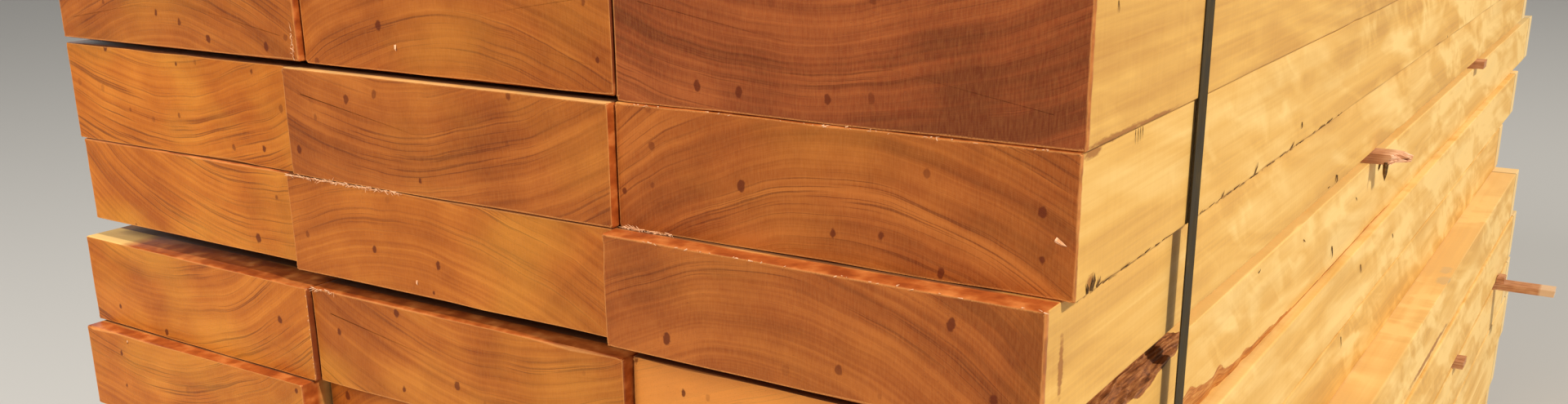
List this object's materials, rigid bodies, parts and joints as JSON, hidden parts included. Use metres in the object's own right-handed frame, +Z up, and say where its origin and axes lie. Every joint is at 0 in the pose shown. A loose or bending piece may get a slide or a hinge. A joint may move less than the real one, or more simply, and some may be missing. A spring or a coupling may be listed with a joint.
{
  "type": "lumber stack",
  "caption": "Two strapped bundles of thick rough-sawn hardwood planks, one on the other, with laths in open gaps between the rows.",
  "frame": {"origin": "on the underside of the stack, below the middle of its planks, on the level ground that it rests on", "axes": "+Y along the planks, away from the near ends; +X across the stack, towards its right-hand long side; +Z up"},
  "size_m": [0.9558, 2.204, 0.8909],
  "materials": {
    "plank_red": "matte",
    "plank_orange": "matte",
    "lath": "matte",
    "strap": "satin"
  },
  "bodies": {
    "root": {"plank_01_right": "plank_red", "plank_01_middle": "plank_orange", "plank_01_left": "plank_orange", "plank_02_right": "plank_red", "plank_02_middle": "plank_orange", "plank_02_left": "plank_orange", "plank_03_right": "plank_red", "plank_03_middle": "plank_orange", "plank_03_left": "plank_orange", "plank_04_right": "plank_red", "plank_04_middle": "plank_orange", "plank_04_left": "plank_orange", "plank_05_right": "plank_red", "plank_05_middle": "plank_orange", "plank_05_left": "plank_orange", "plank_06_right": "plank_red", "plank_06_middle": "plank_orange", "plank_06_left": "plank_orange", "plank_07_right": "plank_red", "plank_07_middle": "plank_orange", "plank_07_left": "plank_orange", "plank_08_right": "plank_red", "plank_08_middle": "plank_orange", "plank_08_left": "plank_orange", "plank_09_right": "plank_red", "plank_09_middle": "plank_orange", "plank_09_left": "plank_orange", "plank_10_right": "plank_red", "plank_10_middle": "plank_orange", "plank_10_left": "plank_orange", "plank_11_right": "plank_red", "plank_11_middle": "plank_orange", "plank_11_left": "plank_orange", "plank_12_right": "plank_red", "plank_12_middle": "plank_orange", "plank_12_left": "plank_orange", "lath_03_1": "lath", "lath_03_2": "lath", "lath_08_1": "lath", "lath_08_2": "lath", "lath_08_3": "lath", "lath_08_4": "lath", "lath_08_5": "lath", "lath_offcut": "lath", "slips_01_middle": "lath", "slips_01_left": "lath", "slips_03_left": "lath", "strap_upper": "strap", "strap_lower": "strap", "seal_upper": "strap", "seal_lower": "strap"}
  },
  "joints": []
}
